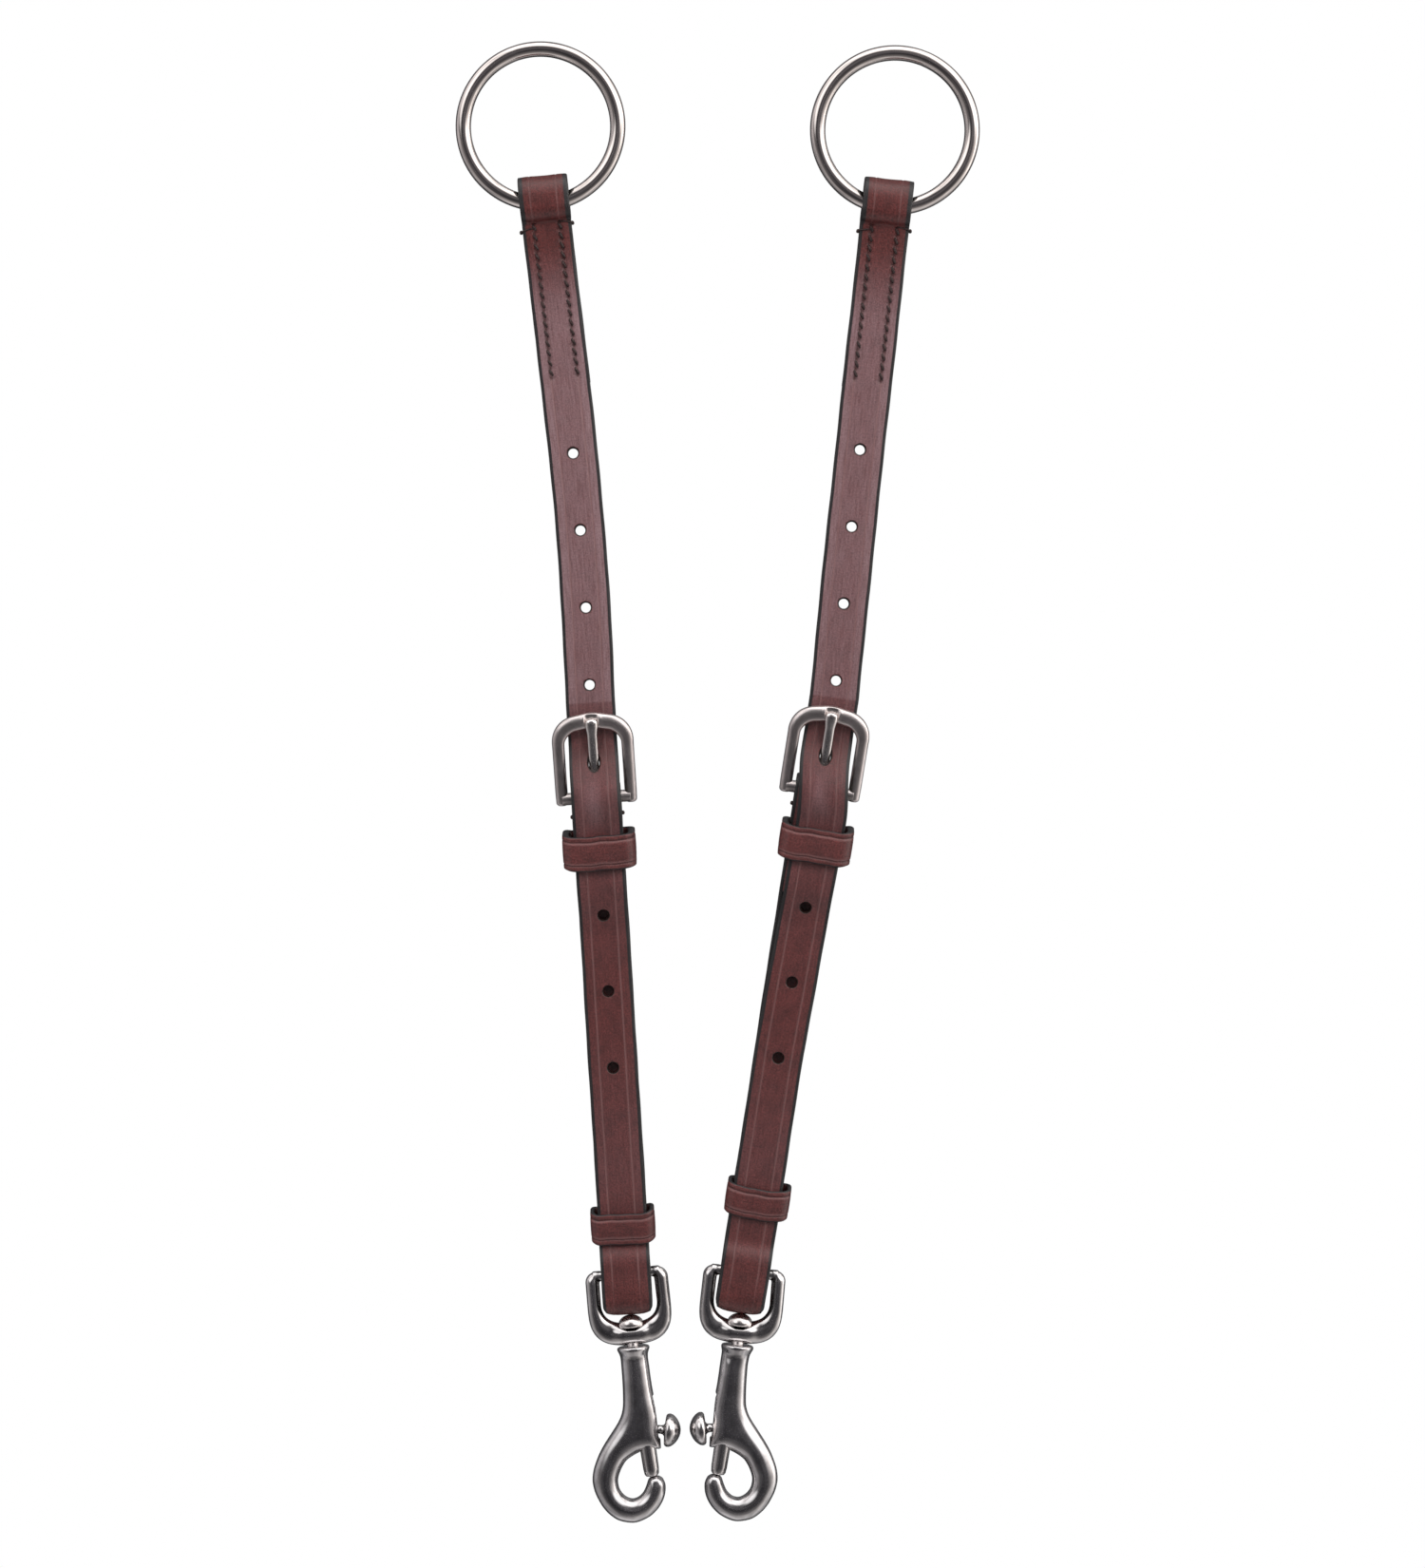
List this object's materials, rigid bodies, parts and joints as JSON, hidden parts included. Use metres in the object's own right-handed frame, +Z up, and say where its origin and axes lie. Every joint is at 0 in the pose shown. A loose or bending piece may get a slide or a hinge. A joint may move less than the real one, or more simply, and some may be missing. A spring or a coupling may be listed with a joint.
{
  "type": "martingale",
  "caption": "Pair of adjustable leather martingale straps, each with a round ring, stitched loop, D buckle, fixed and sliding keepers and a swivel bolt snap.",
  "frame": {"origin": "centre of the left ring's opening, in the middle of its wire", "axes": "+Z up, the straps hanging down from the rings; +X to the right along the pair; -Y out of the front (face) side of the leather"},
  "size_m": [0.1697, 0.0162, 0.4794],
  "materials": {
    "leather": "smooth vegetable-tanned strap leather, waxed, dark red-brown face with black dyed edges",
    "thread": "waxed dark brown linen thread",
    "ring_steel": "polished",
    "buckle_steel": "satin face, polished edges",
    "snap_steel": "polished cast",
    "spring_steel": "bright drawn wire"
  },
  "bodies": {
    "left_ring_body": {"left_ring": "ring_steel"},
    "left_upper_strap_body": {"left_strap_upper": "leather", "left_ring_stitching": "thread"},
    "left_lower_strap_body": {"left_strap_lower": "leather", "left_buckle_frame": "buckle_steel", "left_fixed_keeper": "leather", "left_buckle_stitching": "thread"},
    "left_tongue_body": {"left_buckle_tongue": "buckle_steel"},
    "left_runner_body": {"left_runner_keeper": "leather"},
    "left_eye_body": {"left_snap_eye": "snap_steel"},
    "left_hook_body": {"left_snap_hook": "snap_steel", "left_swivel_rivet": "snap_steel", "left_bolt_spring": "spring_steel"},
    "left_bolt_body": {"left_snap_bolt": "snap_steel", "left_thumb_knob": "snap_steel"},
    "right_ring_body": {"right_ring": "ring_steel"},
    "right_upper_strap_body": {"right_strap_upper": "leather", "right_ring_stitching": "thread"},
    "right_lower_strap_body": {"right_strap_lower": "leather", "right_buckle_frame": "buckle_steel", "right_fixed_keeper": "leather", "right_buckle_stitching": "thread"},
    "right_tongue_body": {"right_buckle_tongue": "buckle_steel"},
    "right_runner_body": {"right_runner_keeper": "leather"},
    "right_eye_body": {"right_snap_eye": "snap_steel"},
    "right_hook_body": {"right_snap_hook": "snap_steel", "right_swivel_rivet": "snap_steel", "right_bolt_spring": "spring_steel"},
    "right_bolt_body": {"right_snap_bolt": "snap_steel", "right_thumb_knob": "snap_steel"}
  },
  "joints": [
    {"name": "left_ring_tilt", "type": "hinge", "parent": "left_ring_body", "child": "left_upper_strap_body", "pos_m": [0.00137, 0, -0.02496], "axis": [0.9958, 0, 0.0915], "range_deg": [-120, 120]},
    {"name": "left_strap_flex", "type": "hinge", "parent": "left_upper_strap_body", "child": "left_lower_strap_body", "pos_m": [0.01619, -0.0016, -0.18628], "axis": [0.9981, 0, 0.0621], "range_deg": [-50, 50]},
    {"name": "left_tongue_pivot", "type": "hinge", "parent": "left_lower_strap_body", "child": "left_tongue_body", "pos_m": [0.01811, 0, -0.21712], "axis": [0.9981, 0, 0.0621], "range_deg": [0, 4]},
    {"name": "left_runner_slide", "type": "slide", "parent": "left_lower_strap_body", "child": "left_runner_body", "axis": [-0.0621, 0, 0.9981], "range_m": [0, 0.0875]},
    {"name": "left_eye_tilt", "type": "hinge", "parent": "left_lower_strap_body", "child": "left_eye_body", "pos_m": [0.0277, 0, -0.37123], "axis": [0.9954, 0, 0.0958], "range_deg": [-120, 120]},
    {"name": "left_hook_swivel", "type": "hinge", "parent": "left_eye_body", "child": "left_hook_body", "pos_m": [0.0277, 0, -0.37123], "axis": [-0.0958, 0, 0.9954], "continuous": true},
    {"name": "left_bolt_slide", "type": "slide", "parent": "left_hook_body", "child": "left_bolt_body", "axis": [-0.1513, 0, 0.9885], "range_m": [0, 0.0085], "stiffness_N_per_m": 150, "springref_m": -0.01, "deforming": ["left_bolt_spring"]},
    {"name": "pair_separation", "type": "slide", "parent": "left_ring_body", "child": "right_ring_body", "axis": [1, 0, 0], "range_m": [0, 0.25]},
    {"name": "right_ring_tilt", "type": "hinge", "parent": "right_ring_body", "child": "right_upper_strap_body", "pos_m": [0.112, 0, -0.02608], "axis": [0.9943, 0, -0.1063], "range_deg": [-120, 120]},
    {"name": "right_strap_flex", "type": "hinge", "parent": "right_upper_strap_body", "child": "right_lower_strap_body", "pos_m": [0.09506, -0.0016, -0.18458], "axis": [0.9881, 0, -0.1537], "range_deg": [-50, 50]},
    {"name": "right_tongue_pivot", "type": "hinge", "parent": "right_lower_strap_body", "child": "right_tongue_body", "pos_m": [0.09036, 0, -0.21482], "axis": [0.9881, 0, -0.1537], "range_deg": [0, 4]},
    {"name": "right_runner_slide", "type": "slide", "parent": "right_lower_strap_body", "child": "right_runner_body", "axis": [0.1537, 0, 0.9881], "range_m": [-0.0054, 0.0829]},
    {"name": "right_eye_tilt", "type": "hinge", "parent": "right_lower_strap_body", "child": "right_eye_body", "pos_m": [0.06611, 0, -0.37074], "axis": [0.9951, 0, -0.0993], "range_deg": [-120, 120]},
    {"name": "right_hook_swivel", "type": "hinge", "parent": "right_eye_body", "child": "right_hook_body", "pos_m": [0.06611, 0, -0.37074], "axis": [0.0993, 0, 0.9951], "continuous": true},
    {"name": "right_bolt_slide", "type": "slide", "parent": "right_hook_body", "child": "right_bolt_body", "axis": [0.1547, 0, 0.988], "range_m": [0, 0.0085], "stiffness_N_per_m": 150, "springref_m": -0.01, "deforming": ["right_bolt_spring"]}
  ]
}
